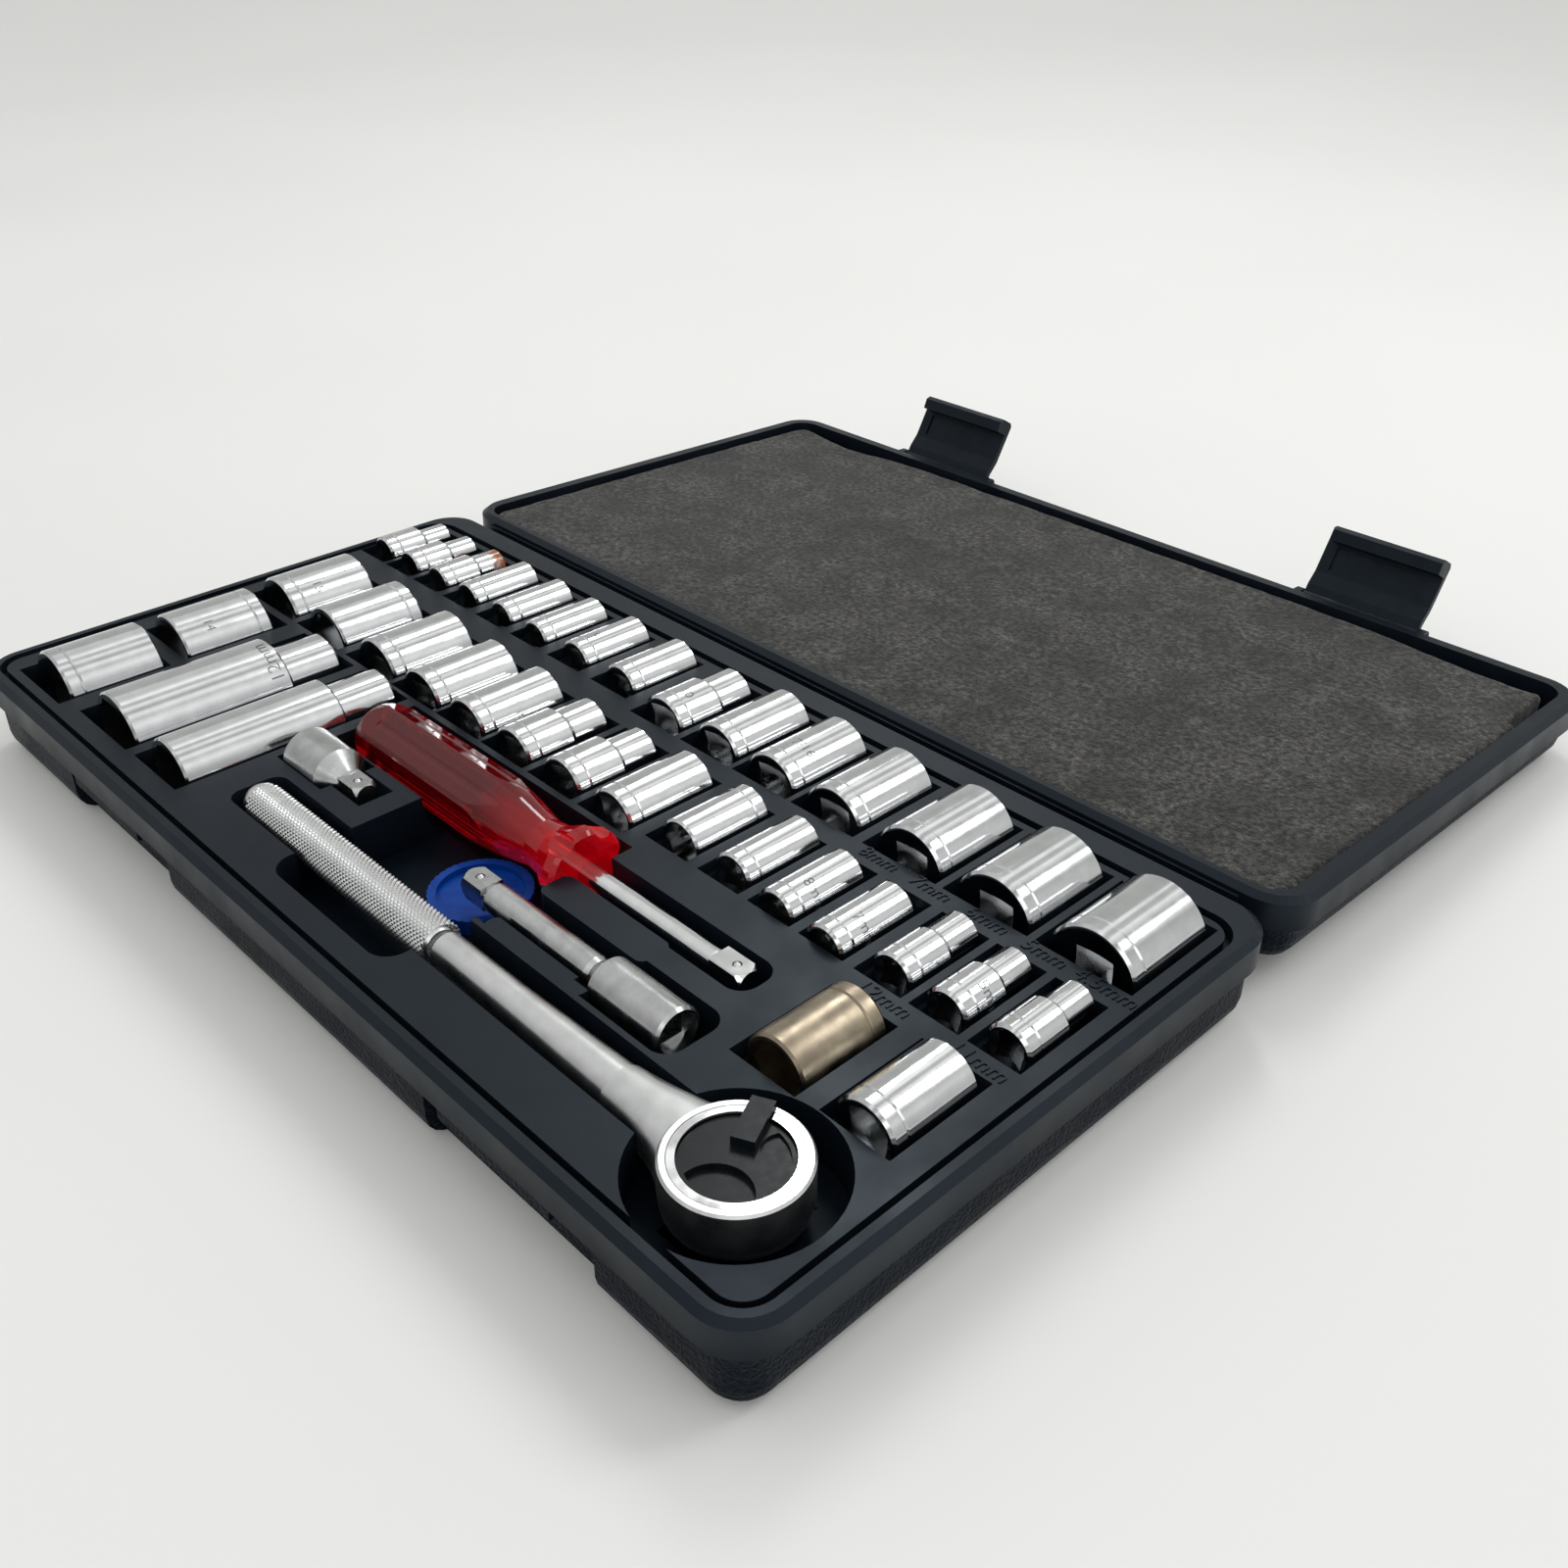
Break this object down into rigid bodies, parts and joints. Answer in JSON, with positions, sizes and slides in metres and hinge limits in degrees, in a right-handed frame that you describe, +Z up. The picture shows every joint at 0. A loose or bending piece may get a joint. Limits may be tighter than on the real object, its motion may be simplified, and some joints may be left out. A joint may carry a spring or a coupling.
{
  "type": "socket wrench set in case",
  "caption": "Moulded case with a hinged, foam-lined lid and two latches, whose tray holds a ratchet, a spinner handle, an extension, an adapter and sockets.",
  "frame": {"origin": "centre of the base's flat bottom face, which rests on the ground", "axes": "+X along the case's length towards the ratchet's head, +Y from the front edge to the hinge, +Z up"},
  "size_m": [0.33, 0.3557, 0.0403],
  "materials": {
    "case_plastic": "moulded, satin on the tray, leather grain outside",
    "foam": "speckled charcoal foam",
    "latch_plastic": "moulded, satin",
    "socket_chrome": "polished chrome plate",
    "bronze_worn": "worn plating, brown cast",
    "ratchet_steel": "satin plated steel, knurled grip",
    "tool_steel": "satin plated steel",
    "black_plate": "moulded, satin",
    "spring_steel": "bright steel",
    "red_handle": "clear red acetate",
    "blue_cap": "glossy ribbed plastic"
  },
  "bodies": {
    "case_base": {"base_shell": "case_plastic", "tray_back": "case_plastic", "tray_front": "case_plastic", "hinge_web": "case_plastic"},
    "lid": {"lid_shell": "case_plastic", "lid_foam": "foam"},
    "left_latch": {"latch_left": "latch_plastic"},
    "right_latch": {"latch_right": "latch_plastic"},
    "ratchet": {"ratchet_body": "ratchet_steel", "retaining_ring": "spring_steel", "detent_spring": "spring_steel"},
    "detent": {"detent_ball": "spring_steel"},
    "drive": {"drive_gear": "tool_steel"},
    "drive_ball": {"anvil_ball": "spring_steel"},
    "reversing": {"reversing_plate": "black_plate"},
    "pawl": {"pawl": "spring_steel"},
    "spinner": {"spinner_handle": "red_handle", "spinner_shaft": "socket_chrome"},
    "spinner_tip_ball": {"spinner_ball": "spring_steel"},
    "extension": {"extension_bar": "tool_steel"},
    "extension_tip_ball": {"extension_ball": "spring_steel"},
    "adapter": {"adapter_body": "tool_steel"},
    "adapter_tip_ball": {"adapter_ball": "spring_steel"},
    "cap": {"ribbed_cap": "blue_cap"},
    "socket_back_01": {"socket_back_01": "socket_chrome"},
    "socket_back_02": {"socket_back_02": "socket_chrome"},
    "socket_back_03": {"socket_back_03": "socket_chrome"},
    "socket_back_04": {"socket_back_04": "socket_chrome"},
    "socket_back_05": {"socket_back_05": "socket_chrome"},
    "socket_back_06": {"socket_back_06": "socket_chrome"},
    "socket_back_07": {"socket_back_07": "socket_chrome"},
    "socket_back_08": {"socket_back_08": "socket_chrome"},
    "socket_back_09": {"socket_back_09": "socket_chrome"},
    "socket_back_10": {"socket_back_10": "socket_chrome"},
    "socket_back_11": {"socket_back_11": "socket_chrome"},
    "socket_back_12": {"socket_back_12": "socket_chrome"},
    "socket_back_13": {"socket_back_13": "socket_chrome"},
    "socket_back_14": {"socket_back_14": "socket_chrome"},
    "socket_back_15": {"socket_back_15": "socket_chrome"},
    "socket_mid_01": {"socket_mid_01": "socket_chrome"},
    "socket_mid_02": {"socket_mid_02": "socket_chrome"},
    "socket_mid_03": {"socket_mid_03": "socket_chrome"},
    "socket_mid_04": {"socket_mid_04": "socket_chrome"},
    "socket_mid_05": {"socket_mid_05": "socket_chrome"},
    "socket_mid_06": {"socket_mid_06": "socket_chrome"},
    "socket_mid_07": {"socket_mid_07": "socket_chrome"},
    "socket_mid_08": {"socket_mid_08": "socket_chrome"},
    "socket_mid_09": {"socket_mid_09": "socket_chrome"},
    "socket_mid_10": {"socket_mid_10": "socket_chrome"},
    "socket_mid_11": {"socket_mid_11": "socket_chrome"},
    "socket_mid_12": {"socket_mid_12": "socket_chrome"},
    "socket_mid_13": {"socket_mid_13": "socket_chrome"},
    "socket_mid_14": {"socket_mid_14": "socket_chrome"},
    "socket_mid_15": {"socket_mid_15": "socket_chrome"},
    "socket_column_1": {"socket_column_1": "socket_chrome"},
    "socket_column_2": {"socket_column_2": "socket_chrome"},
    "socket_front_bronze": {"socket_front_bronze": "bronze_worn"},
    "socket_front_chrome": {"socket_front_chrome": "socket_chrome"},
    "socket_deep_large": {"socket_deep_large": "socket_chrome"},
    "socket_deep_small": {"socket_deep_small": "socket_chrome"}
  },
  "joints": [
    {"name": "lid_hinge", "type": "hinge", "parent": "case_base", "child": "lid", "pos_m": [0, 0.08625, 0.0261], "axis": [-1, 0, 0], "range_deg": [-182, 0], "deforming": ["lid_foam", "hinge_web"]},
    {"name": "left_latch_pivot", "type": "hinge", "parent": "lid", "child": "left_latch", "pos_m": [-0.0875, 0.2584, 0.01749], "axis": [-1, 0, 0], "range_deg": [-28, 50]},
    {"name": "right_latch_pivot", "type": "hinge", "parent": "lid", "child": "right_latch", "pos_m": [0.0897, 0.2584, 0.01749], "axis": [-1, 0, 0], "range_deg": [-28, 50]},
    {"name": "ratchet_lift", "type": "slide", "parent": "case_base", "child": "ratchet", "axis": [0, 0, 1], "range_m": [0, 0.06]},
    {"name": "drive_turn", "type": "hinge", "parent": "ratchet", "child": "drive", "pos_m": [0.135, -0.057, 0.022], "axis": [0, 0, 1], "continuous": true},
    {"name": "reversing_turn", "type": "hinge", "parent": "ratchet", "child": "reversing", "pos_m": [0.135, -0.057, 0.028], "axis": [0, 0, 1], "range_deg": [-20, 20]},
    {"name": "pawl_rock", "type": "hinge", "parent": "ratchet", "child": "pawl", "pos_m": [0.1224, -0.057, 0.022], "axis": [0, 0, 1], "range_deg": [-6.5, 6.5]},
    {"name": "spinner_lift", "type": "slide", "parent": "case_base", "child": "spinner", "axis": [0, 0, 1], "range_m": [0, 0.06]},
    {"name": "extension_lift", "type": "slide", "parent": "case_base", "child": "extension", "axis": [0, 0, 1], "range_m": [0, 0.06]},
    {"name": "adapter_lift", "type": "slide", "parent": "case_base", "child": "adapter", "axis": [0, 0, 1], "range_m": [0, 0.06]},
    {"name": "cap_slide", "type": "slide", "parent": "case_base", "child": "cap", "axis": [-0.8, -0.6, 0], "range_m": [0, 0.012]},
    {"name": "detent_ball_press", "type": "slide", "parent": "ratchet", "child": "detent", "axis": [0, 0, -1], "range_m": [0, 0.0006], "stiffness_N_per_m": 300, "deforming": ["detent_spring"]},
    {"name": "drive_ball_press", "type": "slide", "parent": "drive", "child": "drive_ball", "axis": [-1, 0, 0], "range_m": [0, 0.0005], "stiffness_N_per_m": 300},
    {"name": "spinner_ball_press", "type": "slide", "parent": "spinner", "child": "spinner_tip_ball", "axis": [0, 0, -1], "range_m": [0, 0.0004], "stiffness_N_per_m": 200},
    {"name": "extension_ball_press", "type": "slide", "parent": "extension", "child": "extension_tip_ball", "axis": [0, 0, -1], "range_m": [0, 0.0004], "stiffness_N_per_m": 200},
    {"name": "adapter_ball_press", "type": "slide", "parent": "adapter", "child": "adapter_tip_ball", "axis": [0, 0, -1], "range_m": [0, 0.0004], "stiffness_N_per_m": 200},
    {"name": "socket_back_01_lift", "type": "slide", "parent": "case_base", "child": "socket_back_01", "axis": [0, 0, 1], "range_m": [0, 0.06]},
    {"name": "socket_back_02_lift", "type": "slide", "parent": "case_base", "child": "socket_back_02", "axis": [0, 0, 1], "range_m": [0, 0.06]},
    {"name": "socket_back_03_lift", "type": "slide", "parent": "case_base", "child": "socket_back_03", "axis": [0, 0, 1], "range_m": [0, 0.06]},
    {"name": "socket_back_04_lift", "type": "slide", "parent": "case_base", "child": "socket_back_04", "axis": [0, 0, 1], "range_m": [0, 0.06]},
    {"name": "socket_back_05_lift", "type": "slide", "parent": "case_base", "child": "socket_back_05", "axis": [0, 0, 1], "range_m": [0, 0.06]},
    {"name": "socket_back_06_lift", "type": "slide", "parent": "case_base", "child": "socket_back_06", "axis": [0, 0, 1], "range_m": [0, 0.06]},
    {"name": "socket_back_07_lift", "type": "slide", "parent": "case_base", "child": "socket_back_07", "axis": [0, 0, 1], "range_m": [0, 0.06]},
    {"name": "socket_back_08_lift", "type": "slide", "parent": "case_base", "child": "socket_back_08", "axis": [0, 0, 1], "range_m": [0, 0.06]},
    {"name": "socket_back_09_lift", "type": "slide", "parent": "case_base", "child": "socket_back_09", "axis": [0, 0, 1], "range_m": [0, 0.06]},
    {"name": "socket_back_10_lift", "type": "slide", "parent": "case_base", "child": "socket_back_10", "axis": [0, 0, 1], "range_m": [0, 0.06]},
    {"name": "socket_back_11_lift", "type": "slide", "parent": "case_base", "child": "socket_back_11", "axis": [0, 0, 1], "range_m": [0, 0.06]},
    {"name": "socket_back_12_lift", "type": "slide", "parent": "case_base", "child": "socket_back_12", "axis": [0, 0, 1], "range_m": [0, 0.06]},
    {"name": "socket_back_13_lift", "type": "slide", "parent": "case_base", "child": "socket_back_13", "axis": [0, 0, 1], "range_m": [0, 0.06]},
    {"name": "socket_back_14_lift", "type": "slide", "parent": "case_base", "child": "socket_back_14", "axis": [0, 0, 1], "range_m": [0, 0.06]},
    {"name": "socket_back_15_lift", "type": "slide", "parent": "case_base", "child": "socket_back_15", "axis": [0, 0, 1], "range_m": [0, 0.06]},
    {"name": "socket_mid_01_lift", "type": "slide", "parent": "case_base", "child": "socket_mid_01", "axis": [0, 0, 1], "range_m": [0, 0.06]},
    {"name": "socket_mid_02_lift", "type": "slide", "parent": "case_base", "child": "socket_mid_02", "axis": [0, 0, 1], "range_m": [0, 0.06]},
    {"name": "socket_mid_03_lift", "type": "slide", "parent": "case_base", "child": "socket_mid_03", "axis": [0, 0, 1], "range_m": [0, 0.06]},
    {"name": "socket_mid_04_lift", "type": "slide", "parent": "case_base", "child": "socket_mid_04", "axis": [0, 0, 1], "range_m": [0, 0.06]},
    {"name": "socket_mid_05_lift", "type": "slide", "parent": "case_base", "child": "socket_mid_05", "axis": [0, 0, 1], "range_m": [0, 0.06]},
    {"name": "socket_mid_06_lift", "type": "slide", "parent": "case_base", "child": "socket_mid_06", "axis": [0, 0, 1], "range_m": [0, 0.06]},
    {"name": "socket_mid_07_lift", "type": "slide", "parent": "case_base", "child": "socket_mid_07", "axis": [0, 0, 1], "range_m": [0, 0.06]},
    {"name": "socket_mid_08_lift", "type": "slide", "parent": "case_base", "child": "socket_mid_08", "axis": [0, 0, 1], "range_m": [0, 0.06]},
    {"name": "socket_mid_09_lift", "type": "slide", "parent": "case_base", "child": "socket_mid_09", "axis": [0, 0, 1], "range_m": [0, 0.06]},
    {"name": "socket_mid_10_lift", "type": "slide", "parent": "case_base", "child": "socket_mid_10", "axis": [0, 0, 1], "range_m": [0, 0.06]},
    {"name": "socket_mid_11_lift", "type": "slide", "parent": "case_base", "child": "socket_mid_11", "axis": [0, 0, 1], "range_m": [0, 0.06]},
    {"name": "socket_mid_12_lift", "type": "slide", "parent": "case_base", "child": "socket_mid_12", "axis": [0, 0, 1], "range_m": [0, 0.06]},
    {"name": "socket_mid_13_lift", "type": "slide", "parent": "case_base", "child": "socket_mid_13", "axis": [0, 0, 1], "range_m": [0, 0.06]},
    {"name": "socket_mid_14_lift", "type": "slide", "parent": "case_base", "child": "socket_mid_14", "axis": [0, 0, 1], "range_m": [0, 0.06]},
    {"name": "socket_mid_15_lift", "type": "slide", "parent": "case_base", "child": "socket_mid_15", "axis": [0, 0, 1], "range_m": [0, 0.06]},
    {"name": "socket_column_1_lift", "type": "slide", "parent": "case_base", "child": "socket_column_1", "axis": [0, 0, 1], "range_m": [0, 0.06]},
    {"name": "socket_column_2_lift", "type": "slide", "parent": "case_base", "child": "socket_column_2", "axis": [0, 0, 1], "range_m": [0, 0.06]},
    {"name": "socket_front_bronze_lift", "type": "slide", "parent": "case_base", "child": "socket_front_bronze", "axis": [0, 0, 1], "range_m": [0, 0.06]},
    {"name": "socket_front_chrome_lift", "type": "slide", "parent": "case_base", "child": "socket_front_chrome", "axis": [0, 0, 1], "range_m": [0, 0.06]},
    {"name": "socket_deep_large_lift", "type": "slide", "parent": "case_base", "child": "socket_deep_large", "axis": [0, 0, 1], "range_m": [0, 0.06]},
    {"name": "socket_deep_small_lift", "type": "slide", "parent": "case_base", "child": "socket_deep_small", "axis": [0, 0, 1], "range_m": [0, 0.06]}
  ],
  "couplings": [
    {"joint": "pawl_rock", "follows": "reversing_turn", "ratio": 0.3}
  ]
}
